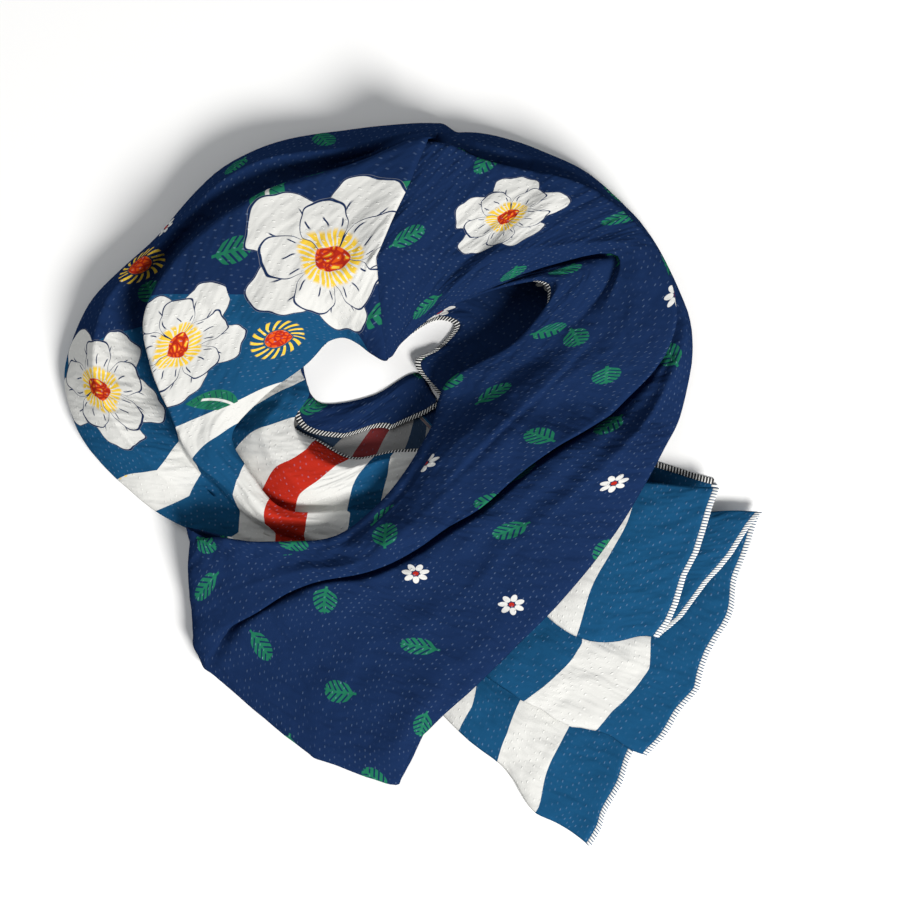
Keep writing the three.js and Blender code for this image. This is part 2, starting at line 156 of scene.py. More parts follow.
# One entry for each section, from the striped end to the plain end: how far along the print it stands
# at its inner, middle and outer folds, counted in stripes; its ends in plan, as shares of the laid
# size; and each fold line's place, level and lead along the strand, as shares of the row, the crown
# and the laid width. One number as the lead is that of the last line alone.
tailLip = ((0.18, 0.441), (0.482, 0.12),
           (0, 0.04, 0.08, 0.12, 0.16, 0.205, 0.28, 0.355, 0.79, 1.03, 0.5, 0.24))
tailLipLead = (0, -0.01, -0.03, -0.048, -0.066, -0.082, -0.105, -0.118, -0.088, -0.025, -0.08, -0.02)
tailUnder = (0.02, 0.01, 0, 0, 0, 0, 0, 0, 0, 0.035, 0.11, 0.11)
sectionParts = ("name", "sheet", "inner", "outer", "across", "level", "lead")
sections = [dict(zip(sectionParts, entry)) for entry in (
    ("striped end", (0, 0, 0), (0.946, 0.489), (0.742, 0.001),
     (0.1, 0.01, 0.44, 0.03, 0.22, 0.5, 0.72, 0.62, 0.84, 1, 0.5, 0),
     (0.27, 0.33, 0.31, 0.17, 0.13, 0.19, 0.18, 0.09, 0.13, 0.07, 0.012, 0.012),
     (-0.03, -0.03, -0.025, 0.042, 0.047, 0.054, 0.024, 0.007, 0, 0, 0, -0.03)),
    ("first stripe", (1, 1, 1), (0.847, 0.508), (0.671, 0.053),
     (0.12, 0.03, 0.5, 0.06, 0.25, 0.52, 0.74, 0.63, 0.86, 1, 0.5, -0.02),
     (0.29, 0.35, 0.34, 0.18, 0.14, 0.22, 0.21, 0.1, 0.14, 0.06, 0, 0.012),
     (-0.022, -0.022, -0.03, 0.055, 0.057, 0.079, 0.04, 0.012, 0, 0, 0, -0.02)),
    ("second stripe", (2, 2, 2), (0.742, 0.522), (0.61, 0.113),
     (0.07, 0.04, 0.47, 0.12, 0.28, 0.54, 0.78, 0.68, 0.9, 1, 0.5, -0.03),
     (0.25, 0.32, 0.33, 0.19, 0.16, 0.24, 0.22, 0.11, 0.15, 0.06, 0, 0.012),
     (-0.014, -0.014, -0.014, 0.03, 0.05, 0.07, 0.02, 0.011, 0.007, 0, 0, -0.01)),
    ("under the band", (4, 4, 5.2), (0.579, 0.544), (0.466, 0.244),
     (0.02, 0.05, 0.33, 0.24, 0.34, 0.5, 0.74, 0.7, 0.88, 1, 0.5, -0.158),
     (0.15, 0.25, 0.3, 0.21, 0.15, 0.19, 0.2, 0.11, 0.15, 0.07, 0, 0.012), -0.072),
    ("turn start", (6, 7.3, 8.1), (0.473, 0.546), (0.318, 0.366),
     (0.02, 0.07, 0.28, 0.46, 0.48, 0.56, 0.7, 0.76, 0.88, 1, 0.5, -0.415),
     (0.2, 0.34, 0.36, 0.22, 0.36, 0.42, 0.36, 0.2, 0.2, 0.1, 0, 0.012), -0.051),
    ("turn low", (8, 9, 10), (0.411, 0.537), (0.222, 0.417),
     (0.03, 0.12, 0.34, 0.62, 0.56, 0.63, 0.71, 0.75, 0.86, 1, 0.5, -0.3),
     (0.18, 0.48, 0.54, 0.22, 0.52, 0.62, 0.5, 0.26, 0.28, 0.13, 0, 0.012), -0.06),
    ("turn left", (9, 10, 11), (0.377, 0.56), (0.134, 0.46),
     (0.06, 0.14, 0.3, 0.53, 0.46, 0.53, 0.61, 0.67, 0.8, 1, 0.5, -0.026),
     (0.14, 0.54, 0.6, 0.22, 0.62, 0.76, 0.66, 0.3, 0.32, 0.15, 0, 0.012), -0.052),
    ("lower left", (9.8, 11, 12.3), (0.36, 0.594), (0.064, 0.516),
     (0.14, 0.12, 0.26, 0.48, 0.4, 0.49, 0.61, 0.64, 0.8, 1, 0.5, 0.017),
     (0.1, 0.46, 0.54, 0.24, 0.68, 0.86, 0.78, 0.36, 0.58, 0.16, 0, 0.012), -0.03),
    ("left low", (10.6, 12, 13.6), (0.355, 0.625), (0.016, 0.58),
     (0.1, 0.03, 0.13, 0.32, 0.22, 0.34, 0.58, 0.61, 0.82, 1, 0.5, 0.04),
     (0.1, 0.28, 0.4, 0.28, 0.62, 0.84, 0.9, 0.26, 0.74, 0.17, 0, 0.012), -0.02),
    ("left", (11.4, 13, 14.9), (0.352, 0.661), (0.001, 0.658),
     (0.1, 0.06, 0.12, 0.24, 0.03, 0.25, 0.625, 0.655, 0.86, 1, 0.5, 0.045),
     (0.05, 0.16, 0.26, 0.32, 0.5, 0.82, 0.94, 0.18, 0.72, 0.18, 0, 0.012), -0.006),
    ("upper left", (12.2, 14, 16.2), (0.374, 0.693), (0.035, 0.744),
     (0.04, 0.08, 0.14, 0.25, 0, 0.25, 0.73, 0.765, 0.92, 1, 0.5, 0.03),
     (0.1, 0.16, 0.26, 0.32, 0.46, 0.84, 0.97, 0.22, 0.6, 0.2, 0, 0.012)),
    ("top left", (12.8, 15, 17.4), (0.395, 0.699), (0.12, 0.826),
     (0.05, 0.09, 0.15, 0.26, 0, 0.28, 0.82, 0.87, 0.94, 1, 0.5, 0.07),
     (0.1, 0.16, 0.26, 0.32, 0.44, 0.88, 0.96, 0.42, 0.58, 0.22, 0, 0.012)),
    ("top", (13.4, 16, 18.6), (0.414, 0.689), (0.24, 0.941),
     (0.05, 0.09, 0.15, 0.26, 0, 0.32, 0.775, 0.8, 0.93, 1, 0.5, 0.08),
     (0.1, 0.16, 0.26, 0.32, 0.42, 0.9, 0.9, 0.5, 0.68, 0.22, 0, 0.012)),
    ("before the crease", (14, 17.2, 20), (0.434, 0.676), (0.395, 0.982),
     (0.05, 0.09, 0.15, 0.26, 0, 0.36, 0.8, 0.83, 0.9, 1, 0.5, 0.08),
     (0.1, 0.16, 0.26, 0.32, 0.42, 0.94, 0.92, 0.44, 0.68, 0.24, 0, 0.012)),
    ("crease", (14.6, 18.2, 21.2), (0.453, 0.668), (0.531, 0.996),
     (0.05, 0.09, 0.15, 0.26, 0, 0.38, 0.88, 0.9, 0.95, 0.985, 0.5, 0.1),
     (0.1, 0.16, 0.26, 0.32, 0.42, 0.98, 0.92, 0.6, 0.46, 0.2, 0, 0.012),
     (0, 0, 0, 0, 0, 0.042, 0.008, 0, 0, 0, 0, 0)),
    ("top right", (15.2, 19.2, 22.2), (0.476, 0.693), (0.621, 0.974),
     (0.1, 0.07, 0.14, 0.25, 0, 0.4, 0.84, 0.828, 0.93, 1, 0.5, 0.06),
     (0.08, 0.16, 0.26, 0.32, 0.42, 0.78, 0.82, 0.52, 0.58, 0.22, 0, 0.02)),
    ("upper right", (16, 20.2, 23.4), (0.53, 0.729), (0.742, 0.92),
     (0.15, 0.09, 0.14, 0.3, 0.06, 0.42, 0.902, 0.893, 0.96, 1, 0.5, 0),
     (0.14, 0.24, 0.32, 0.4, 0.56, 0.86, 0.84, 0.56, 0.46, 0.2, 0, 0.03)),
    ("corner", (17, 21.2, 24.4), (0.572, 0.726), (0.833, 0.826),
     (0.42, 0.46, 0.66, 0.8, 0.78, 0.86, 0.964, 0.958, 0.985, 1, 0.5, -0.06),
     (0.58, 0.7, 0.78, 0.66, 0.82, 0.9, 0.82, 0.6, 0.44, 0.2, 0, 0.03)),
    ("right", (18, 22.4, 25.6), (0.581, 0.689), (0.883, 0.71),
     (0.24, 0.18, 0.28, 0.38, 0.5, 0.66, 0.9, 0.892, 0.96, 1, 0.5, -0.17),
     (0.36, 0.5, 0.56, 0.58, 0.66, 0.76, 0.84, 0.5, 0.54, 0.2, 0, 0.012)),
    ("lower right", (19.4, 23.6, 26.8), (0.54, 0.639), (0.871, 0.601),
     (0.09, 0, 0.13, 0.2, 0.3, 0.43, 0.73, 0.718, 0.88, 1, 0.5, -0.13),
     (0.08, 0.34, 0.42, 0.42, 0.58, 0.68, 0.58, 0.22, 0.52, 0.17, 0, 0.012), 0.023),
    ("band upper", (21, 25, 28), (0.518, 0.574), (0.833, 0.53),
     (0.05, 0, 0.06, 0.1, 0.15, 0.32, 0.545, 0.535, 0.8, 1, 0.5, 0.18),
     (0.05, 0.2, 0.3, 0.38, 0.46, 0.58, 0.54, 0.22, 0.4, 0.13, 0, 0.012)),
    ("band middle", (24, 28, 30.5), (0.452, 0.482), (0.744, 0.394),
     (0.05, 0, 0.05, 0.07, 0.11, 0.2, 0.36, 0.345, 0.64, 1, 0.5, 0.17),
     (0.04, 0.16, 0.21, 0.28, 0.35, 0.47, 0.45, 0.17, 0.3, 0.1, 0, 0.012)),
    ("band low", (27, 31, 33), (0.381, 0.429), (0.614, 0.26),
     (0.05, 0, 0.05, 0.08, 0.12, 0.18, 0.25, 0.235, 0.62, 1, 0.5, 0.16),
     (0.04, 0.16, 0.2, 0.25, 0.3, 0.41, 0.4, 0.14, 0.27, 0.1, 0, 0.012)),
    ("tail upper", (30, 34, 36), (0.287, 0.424), (0.53, 0.184),
     (0.08, 0, 0.05, 0.09, 0.13, 0.17, 0.24, 0.225, 0.6, 1, 0.5, 0.16),
     (0.1, 0.25, 0.27, 0.3, 0.34, 0.42, 0.41, 0.27, 0.3, 0.2, 0.15, 0.15)),
    ("tail brow", (31, 35, 37), (0.225, 0.432), (0.5, 0.15),
     (0.09, 0, 0.05, 0.09, 0.13, 0.17, 0.262, 0.25, 0.68, 1, 0.5, 0.22),
     (0.16, 0.33, 0.34, 0.35, 0.36, 0.4, 0.41, 0.29, 0.34, 0.28, 0.21, 0.21),
     (0, -0.004, -0.01, -0.02, -0.03, -0.04, -0.055, -0.065, -0.052, -0.01, -0.04, 0)),
    ("tail lip", (32, 36, 38), *tailLip,
     (0.26, 0.28, 0.29, 0.295, 0.3, 0.3, 0.3, 0.29, 0.3, 0.25, 0.18, 0.18), tailLipLead),
    ("tail lower lip", (32.2, 36.2, 38.2), *tailLip,
     (0.04, 0.03, 0.03, 0.02, 0.02, 0.02, 0.02, 0.02, 0.02, 0.06, 0.12, 0.12), tailLipLead),
    ("tail turned", (32.6, 36.6, 38.6), (0.21, 0.434), (0.493, 0.14),
     (0, 0.04, 0.08, 0.12, 0.16, 0.205, 0.28, 0.355, 0.77, 1.02, 0.5, 0.24),
     tailUnder,
     (0, -0.006, -0.02, -0.036, -0.052, -0.066, -0.086, -0.096, -0.064, -0.01, -0.05, -0.014)),
    ("plain end", (33, 37, 39), (0.235, 0.43), (0.503, 0.16),
     (0, 0.04, 0.08, 0.12, 0.16, 0.205, 0.27, 0.34, 0.76, 1.01, 0.5, 0.24),
     tailUnder,
     (0, -0.002, -0.012, -0.026, -0.04, -0.052, -0.068, -0.076, -0.046, 0, -0.03, -0.008)),
)]

order = {section["name"]: k for k, section in enumerate(sections)}


def smoothstep(x):
    x = np.clip(x, 0.0, 1.0)
    return x * x * (3.0 - 2.0 * x)


def unit(vectors):
    return vectors / np.maximum(np.linalg.norm(vectors, axis=-1, keepdims=True), 1e-12)


def lengthAlong(points):
    return np.concatenate([[0.0], np.cumsum(np.linalg.norm(np.diff(points, axis=0), axis=1))])


def hermite(start, end, startSlope, endSlope, share):
    return (start + startSlope * share + (3 * (end - start) - 2 * startSlope - endSlope) * share ** 2
            + (2 * (start - end) + startSlope + endSlope) * share ** 3)


def alongCurve(points, spots):
    # a centripetal Catmull-Rom curve through the points, at spots counted in points
    points = np.asarray(points, float)
    ends = np.vstack([2 * points[0] - points[1], points, 2 * points[-1] - points[-2]])
    start = np.clip(np.floor(spots).astype(int), 0, len(points) - 2)
    share = (np.asarray(spots) - start)[:, None]
    p0, p1, p2, p3 = ends[start], ends[start + 1], ends[start + 2], ends[start + 3]
    gap = lambda a, b: np.sqrt(np.linalg.norm(b - a, axis=1))[:, None]
    d0, d1, d2 = gap(p0, p1), gap(p1, p2), gap(p2, p3)
    d1 = np.where(d1 < 1e-4, 1.0, d1)
    d0 = np.where(d0 < 1e-4, d1, d0)
    d2 = np.where(d2 < 1e-4, d1, d2)
    t1 = ((p1 - p0) / d0 - (p2 - p0) / (d0 + d1) + (p2 - p1) / d1) * d1
    t2 = ((p2 - p1) / d1 - (p3 - p1) / (d1 + d2) + (p3 - p2) / d2) * d1
    return hermite(p1, p2, t1, t2, share)


def smoothAlong(values, spots):
    # a smooth curve through plain numbers, one to each section
    values = np.asarray(values, float)
    slopes = np.gradient(values)
    start = np.clip(np.floor(spots).astype(int), 0, len(values) - 2)
    return hermite(values[start], values[start + 1], slopes[start], slopes[start + 1], spots - start)


def foldPoint(section, line):
    size = np.array([laid["width"], laid["depth"]])
    inner, outer = (np.append(np.array(section[end]) * size, 0.0) for end in ("inner", "outer"))
    side = outer - inner
    forward = unit(np.array([-side[1], side[0], 0.0]))
    lead = section.get("lead", 0.0)
    if isinstance(lead, tuple):
        lead = lead[line]
    elif line < len(foldLines) - 1:
        lead = 0.0
    point = inner + side * section["across"][line] + forward * lead * laid["width"]
    point[2] = section["level"][line] * laid["crown"]
    return point


def foldedRow(points, tangents):
    # one row across the sheet: its fold points, each fold rounded off, on one smooth curve
    corners, spots = [], []
    for line, (name, isRound, wall) in enumerate(foldLines):
        point = points[line]
        if not isRound:
            corners.append(point)
        else:
            before, after = point - points[line - 1], points[line + 1] - point
            reach = min(laid["foldReach"], np.linalg.norm(before) / 3, np.linalg.norm(after) / 3)
            before, after, tangent = unit(before), unit(after), unit(tangents[line])
            squareBefore = unit(before - tangent * before.dot(tangent))
            squareAfter = unit(after - tangent * after.dot(tangent))
            sharpness = max(0.0, -squareBefore.dot(squareAfter))
            sideways = unit(squareBefore + squareAfter) * laid["foldHalf"] * sharpness
            corners += [point - before * reach - sideways, point, point + after * reach + sideways]
            spots += [len(corners) - 3 + k / foldSteps for k in range(2 * foldSteps)]
        ease = wallEase.get(name, 1.0)
        for k in range(max(wall, 1)):
            spots.append(len(corners) - 1 + (k / max(wall, 1)) ** ease)
    return alongCurve(corners, np.array(spots))


def rowPlaces():
    # where the rows stand, counted in sections
    spots = []
    for k in range(len(sections) - 1):
        steps = laid["rowsInTail"] if k >= order["tail brow"] else laid["rowsPerSection"]
        spots += [k + step / steps for step in range(steps)]
    extra = laid["rowsInPleat"] + 1
    spots += list(order["crease"] + np.arange(1, extra) / extra * pleat["span"])
    return np.array(sorted(spots + [len(sections) - 1]))


def columnStrips():
    # for each column, the fold line that it follows
    line = []
    for k, (name, isRound, wall) in enumerate(foldLines):
        line += [k] * ((2 * foldSteps if isRound else 0) + max(wall, 1))
    return np.array(line)


places = rowPlaces()
strips = columnStrips()
rows, columns = len(places), len(strips)
starts = [int(np.argmax(strips == k)) for k in range(len(foldLines))]
lineOf = np.interp(np.arange(columns), starts, np.arange(len(foldLines)))


def loftCloth():
    lines = np.array([alongCurve([foldPoint(section, line) for section in sections], places)
                      for line in range(len(foldLines))])
    tangents = np.gradient(lines, axis=1)
    return np.array([foldedRow(lines[:, row], tangents[:, row]) for row in range(rows)])


def restOn(grid):
    # sets the cloth on the surface, and the band on the strand that it crosses
    grid[..., 2] = np.maximum(grid[..., 2], 0.0) + laid["cadCloth"] / 2
    lower = grid[(places >= order["striped end"]) & (places <= order["turn left"])]
    lower = lower[::3, ::2].reshape(-1, 3)
    for row in np.where(places >= order["right"])[0]:
        apart = np.linalg.norm(grid[row][:, None, :2] - lower[None, :, :2], axis=2) - laid["restReach"]
        near = 1.0 - smoothstep(apart / laid["slope"])
        lift = ((lower[None, :, 2] + laid["cadCloth"] + laid["layerGap"]) * near).max(axis=1)
        grid[row, :, 2] += lift
    return grid


def gridNormals(grid):
    return unit(np.cross(np.gradient(grid, axis=1), np.gradient(grid, axis=0)))


cloth = restOn(loftCloth())
cloth[..., :2] += laid["shift"]
print("scarf: lofted", rows, "rows of", columns)

# Soft unevenness: broad swells and narrow drag lines on the upper layers. The outline drifts a little
# too, most past endStart, at the striped end.
softness = {
    "swell": 0.0022, "swellSize": 0.04,
    "drag": 0.0009, "dragSize": 0.011, "dragStretch": 5.0, "dragDepth": 0.31,
    "drift": 0.0012, "endDrift": 0.006, "endStart": 0.19, "endReach": 0.08, "driftSize": 0.034,
    "driftOffsets": ((3.1, 0.7, 5.3), (7.9, 4.2, 1.6)),
    "share": [0.15, 0.25, 0.3, 0.25, 0.6, 1.0, 1.0, 0.8, 0.9, 0.35, 0.0, 0.0],
}


def cellLengths(grid):
    # how far each point lies along its column and along its row
    along, across = np.zeros(grid.shape[:2]), np.zeros(grid.shape[:2])
    along[1:] = np.cumsum(np.linalg.norm(np.diff(grid, axis=0), axis=2), axis=0)
    across[:, 1:] = np.cumsum(np.linalg.norm(np.diff(grid, axis=1), axis=2), axis=1)
    return along, across


def soften(grid):
    along, across = cellLengths(grid)
    normals = gridNormals(grid)
    share = np.interp(np.arange(columns), starts, softness["share"])
    for row in range(rows):
        u = along[row, starts[mainCrest]]
        for col in np.where(share >= 0.01)[0]:
            v = across[row, col]
            swell = noise.noise(Vector((u, v, 0.0)) / softness["swellSize"])
            dragSpot = Vector((u / softness["dragStretch"], v, softness["dragDepth"]))
            drag = noise.noise(dragSpot / softness["dragSize"])
            size = softness["swell"] * swell + softness["drag"] * drag
            grid[row, col] += normals[row, col] * share[col] * size
    grid[..., 2] = np.maximum(grid[..., 2], laid["cadCloth"] / 2)
    for row in range(rows):
        for col in range(columns):
            x, y, z = grid[row, col]
            atEnd = float(smoothstep((x - y - softness["endStart"]) / softness["endReach"]))
            size = softness["drift"] + softness["endDrift"] * atEnd
            spot = Vector((x, y, 0.0)) / softness["driftSize"]
            pushX, pushY = (noise.noise(spot + Vector(offset)) for offset in softness["driftOffsets"])
            grid[row, col, :2] += (size * pushX, size * pushY)
    return grid


# Sharp creases that the folds don't make: their line in plan, the height and width of the lip beside
# it, and the lip's side.
creases = [
    ([(0.096, 0.229), (0.08, 0.19), (0.05, 0.156), (0.018, 0.133)], 0.0045, 0.022, 1),
    ([(-0.052, -0.039), (-0.025, -0.038), (0.003, -0.033), (0.028, -0.022)], 0.004, 0.014, 1),
    ([(0.113, 0.096), (0.087, 0.068), (0.056, 0.04), (0.02, 0.004)], 0.004, 0.018, -1),
    ([(-0.005, -0.187), (0.000, -0.16), (0.025, -0.129), (0.06, -0.092)], 0.003, 0.016, 1),
    ([(-0.15, 0.15), (-0.13, 0.118), (-0.093, 0.105), (-0.06, 0.096)], 0.004, 0.016, 1),
]
creaseEdges = {"drop": 0.003, "beyond": 0.008, "steps": 49, "lowest": 0.012}


def creased(grid):
    shown = (strips >= innerTop) & (strips <= outerCrest)
    for plotted, height, width, side in creases:
        points = np.array([(x, y, 0.0) for x, y in plotted])
        line = alongCurve(points, np.linspace(0, len(points) - 1, creaseEdges["steps"]))[:, :2]
        step = unit(np.gradient(line, axis=0))
        plan = grid[..., :2].reshape(-1, 2)
        apart = plan[:, None, :] - line[None, :, :]
        nearest = np.argmin((apart ** 2).sum(axis=2), axis=1)
        toPoint = apart[np.arange(len(plan)), nearest]
        aside = side * (step[nearest, 0] * toPoint[:, 1] - step[nearest, 1] * toPoint[:, 0])
        beyond = np.abs((step[nearest] * toPoint).sum(axis=1))
        ends = np.sin(np.pi * np.clip((nearest + 2) / (creaseEdges["steps"] + 3), 0, 1)) ** 0.5
        ends = ends * (1 - smoothstep(beyond / creaseEdges["beyond"]))
        left = np.exp(-(np.maximum(aside, 0) / width) ** 2)
        right = 1 - smoothstep(-aside / creaseEdges["drop"])
        lip = np.where(aside > 0, left, right) * ends * height
        grid[..., 2] += lip.reshape(rows, columns) * shown[None, :] * (grid[..., 2] > creaseEdges["lowest"])
    return grid


def pleated(grid):
    # at the crease, each row runs under the lip and out again
    lip = int(np.argmin(np.abs(places - order["crease"])))
    amount = smoothstep((lineOf - mainBrow) / 0.7) * (1 - smoothstep((lineOf - outerValley - 0.2) / 1.2))
    edge = grid[lip].copy()
    away = grid[lip] - grid[lip - 3]
    away[:, 2] = 0.0
    away = unit(away)
    before = np.linalg.norm(grid[:lip + 1] - edge[None], axis=2)
    grid[:lip + 1, :, 2] += pleat["lip"] * amount * np.exp(-(before / pleat["rise"]) ** 2)
    top = grid[lip, :, 2].copy()
    past = places - order["crease"]
    for row in np.where((past > 0) & (past <= pleat["span"]))[0]:
        share = past[row] / pleat["span"]
        target = grid[row].copy()
        if share < pleat["turn"]:
            turn = share / pleat["turn"]
            under = edge - away * (pleat["under"] * float(smoothstep(turn)))
            under[:, 2] = top - (top - edge[:, 2] + pleat["fall"] * 0.2) * smoothstep(turn * 1.6)
        else:
            out = smoothstep((share - pleat["turn"]) / (1 - pleat["turn"]))
            under = (edge - away * pleat["under"]) * (1 - out) + target * out
            under[:, 2] = (edge[:, 2] - pleat["fall"] * (1 - out)) * (1 - out) + target[:, 2] * out
        grid[row] = target * (1 - amount[:, None]) + under * amount[:, None]
    past = np.clip(past / pleat["dipSpan"], 0.0, 1.0)
    outerShare = smoothstep((lineOf - outerValley + 0.5) / 1.5)
    for row in np.where((past > 0.0) & (past < 1.0))[0]:
        inward = grid[row, starts[innerTop]] - grid[row, starts[outerFold]]
        inward[2] = 0.0
        step = float(smoothstep(past[row] / pleat["dipEdge"])) * (1.0 - past[row]) ** 2
        grid[row] += outerShare[:, None] * unit(inward) * pleat["dip"] * step
    return grid


# The long crease down the band: beyond its valley the cloth stands up in a lip, row by row.
bandLip = {
    "height": 0.0072, "rise": 0.0085, "fall": 0.024, "drop": 0.0034,
    "rows": {"lower right": 0.5, "band upper": 0.9, "band middle": 1.0, "band low": 1.0, "tail upper": 1.0,
             "tail brow": 0.7},
}


def bandCreased(grid):
    amount = smoothAlong([bandLip["rows"].get(name, 0.0) for name in order], places)
    valley, crest = starts[outerValley] + foldSteps, starts[outerCrest]
    for row in np.where(amount > 0.01)[0]:
        out = lengthAlong(grid[row, valley:crest])
        fall = np.exp(-(np.maximum(out - bandLip["rise"], 0.0) / bandLip["fall"]) ** 2)
        toCrest = 1.0 - smoothstep(out / out[-1] * 2.0 - 1.0)
        rise = smoothstep(out / bandLip["rise"])
        lip = bandLip["height"] * rise * fall * toCrest - bandLip["drop"] * (1.0 - rise)
        grid[row, valley:crest, 2] += amount[row] * lip
    return grid


turnedReach = np.interp(places, np.arange(len(sections)), [turnedBack.get(name, 0.0) for name in order])


def edgeTurned(grid):
    # the bottom layer reaches the opening's rim, and its long edge folds back on top of it
    first = starts[underLayer]
    count = columns - first
    for row in np.where(turnedReach > turnedLeast)[0]:
        start, rim = grid[row, first].copy(), grid[row, -1].copy()
        back = start - rim
        back[2] = 0.0
        back = unit(back)
        for k in range(count):
            share = 2.0 * k / (count - 1)
            if share < 1.0:
                grid[row, first + k] = start + (rim - start) * share
            else:
                grid[row, first + k] = rim + back * turnedReach[row] * (share - 1.0)
                grid[row, first + k, 2] = rim[2] + turnedLift * smoothstep((share - 1.0) * 4.0)
    return grid


cloth = edgeTurned(bandCreased(pleated(creased(soften(cloth)))))
normals = gridNormals(cloth)
along, across = cellLengths(cloth)
print("scarf: softened and creased")


def gridMesh(name, grid):
    # a flat grid whose points are moved one by one to the places in grid
    mesh = bmesh.new()
    rowCount, columnCount = grid.shape[:2]
    bmesh.ops.create_grid(mesh, x_segments=columnCount - 1, y_segments=rowCount - 1, size=0.5)
    for vert in mesh.verts:
        column = round((vert.co.x + 0.5) * (columnCount - 1))
        row = round((vert.co.y + 0.5) * (rowCount - 1))
        vert.index = row * columnCount + column
        vert.co = grid[row, column]
    return mesh


# The print's own coordinates. sheet counts stripes along the length. print is the cloth laid flat, in
# metres: one strip from fold line to fold line, laid out along the line between them that it follows.
sheetPlaces = np.stack([smoothAlong([section["sheet"][k] for section in sections], places)
                        for k in range(3)])
printStrips = [(0, innerValley, 2), (innerValley, outerValley, mainCrest),
               (outerValley, outerFold, outerCrest), (outerFold, secondHem, underLayer)]
stripEnds = (innerValley, outerValley, underLayer)
flatLimits = {"width": 0.03, "bend": 0.6, "apart": 0.117}  # least width, most turn a row, strip spacing


def laidFlat(first, last, followed):
    low, high = starts[first], starts[last] - (1 if last == secondHem else 0)
    middle = starts[followed] + foldSteps
    steps = np.diff(along[:, [low, middle, high]], axis=0)
    width = across[:, high] - across[:, low]
    width = np.maximum((width[1:] + width[:-1]) / 2, flatLimits["width"])
    bend = np.clip((steps[:, 2] - steps[:, 0]) / width, -flatLimits["bend"], flatLimits["bend"])
    heading = -np.concatenate([[0.0], np.cumsum(bend)])
    middles = (heading[1:] + heading[:-1]) / 2
    spots = np.zeros((rows, 2))
    spots[1:] = np.cumsum(steps[:, [1]] * np.stack([np.cos(middles), np.sin(middles)], axis=1), axis=0)
    aside = (across - across[:, [middle]])[..., None]
    square = np.stack([-np.sin(heading), np.cos(heading)], axis=1)
    return spots[:, None, :] + aside * square[:, None, :] + np.array([0.0, flatLimits["apart"] * first])


printFlat = [laidFlat(*entry) for entry in printStrips]
stripOf = np.array([sum(column >= starts[line] for line in stripEnds) for column in range(columns)])
followedColumns = [starts[innerTop], starts[mainCrest] + foldSteps, starts[outerCrest] + foldSteps]


def sheetAt(row, column):
    # what is turned back comes from further along, where the ground is navy
    if turnedReach[row] > turnedLeast and column > (starts[underLayer] + columns) // 2 - 2:
        return sections[-1]["sheet"][0]
    low, middle, high = across[row, followedColumns]
    inner, main, outer = sheetPlaces[:, row]
    spot = min(max(across[row, column], low), high)
    return (inner * (spot - middle) * (spot - high) / ((low - middle) * (low - high))
            + main * (spot - low) * (spot - high) / ((middle - low) * (middle - high))
            + outer * (spot - low) * (spot - middle) / ((high - low) * (high - middle)))


def printCoordinates(mesh):
    sheetMap = mesh.loops.layers.uv.new("sheet")
    printMap = mesh.loops.layers.uv.new("print")
    for face in mesh.faces:
        flat = printFlat[stripOf[min(loop.vert.index % columns for loop in face.loops)]]
        for loop in face.loops:
            row, column = divmod(loop.vert.index, columns)
            loop[sheetMap].uv = (sheetAt(row, column), across[row, column] / across[row, -1])
            loop[printMap].uv = flat[row, column]


def printPlace(spot):
    # where in the print the top layer lies at a spot in plan
    apart = np.linalg.norm(cloth[..., :2] - np.array(spot), axis=2)
    top = np.where(apart < 0.004, cloth[..., 2], -1.0)
    row, column = np.unravel_index(np.argmax(top), top.shape)
    return tuple(float(value) for value in printFlat[stripOf[column]][row, column])


colours = {
    "navy": (0.0085, 0.023, 0.075), "teal": (0.0095, 0.068, 0.158), "white": (0.66, 0.66, 0.635),
    "red": (0.41, 0.023, 0.012), "green": (0.014, 0.145, 0.078), "yellow": (0.81, 0.54, 0.05),
    "orange": (0.69, 0.09, 0.01), "black": (0.008, 0.009, 0.012), "thread": (0.84, 0.84, 0.81),
    # shade is painted shade, mixed into the reverse where it lies in the shadowed opening
    "paleBlue": (0.42, 0.6, 0.92), "shade": (0.035, 0.035, 0.045), "unprinted": (0.8, 0.8, 0.8),
}
midGrey = (0.5, 0.5, 0.5)


def feed(socket, value):
    if isinstance(value, bpy.types.NodeSocket):
        socket.id_data.links.new(value, socket)
    else:
        socket.default_value = value


def node(kind, given, tree=None, **settings):
    # without a tree the new node goes where what feeds it is
    given = dict(given)
    if tree is None:
        tree = next(value.id_data for value in given.values() if isinstance(value, bpy.types.NodeSocket))
    made = tree.nodes.new(kind)
    for name, value in settings.items():
        setattr(made, name, value)
    for name, value in given.items():
        feed(made.inputs[name], value)
    return made


def maths(operation, *values):
    return node("ShaderNodeMath", enumerate(values), operation=operation).outputs[0]


def times(first, *others):
    for value in others:
        first = maths("MULTIPLY", first, value)
    return first


def minus(first, second):
    return maths("SUBTRACT", first, second)


def vectors(operation, *values):
    made = node("ShaderNodeVectorMath", enumerate(values), operation=operation)
    return made.outputs["Value" if operation == "LENGTH" else "Vector"]


def joined(x, y):
    return node("ShaderNodeCombineXYZ", {"X": x, "Y": y}).outputs["Vector"]


def parts(vector):
    made = node("ShaderNodeSeparateXYZ", {"Vector": vector})
    return made.outputs["X"], made.outputs["Y"]


def turned(vector, angle):
    made = node("ShaderNodeVectorRotate", {"Vector": vector, "Angle": angle}, rotation_type="Z_AXIS")
    return made.outputs["Vector"]


def fade(value, low, high):
    # 0 below low, 1 above high and smooth between, or the other way round when low is the larger
    given = {"Value": value, "From Min": low, "From Max": high}
    return node("ShaderNodeMapRange", given, interpolation_type="SMOOTHSTEP").outputs["Result"]


def window(value, low, full, fullEnd, high):
    # 1 from full to fullEnd, and 0 below low and above high
    return times(fade(value, low, full), fade(value, high, fullEnd))


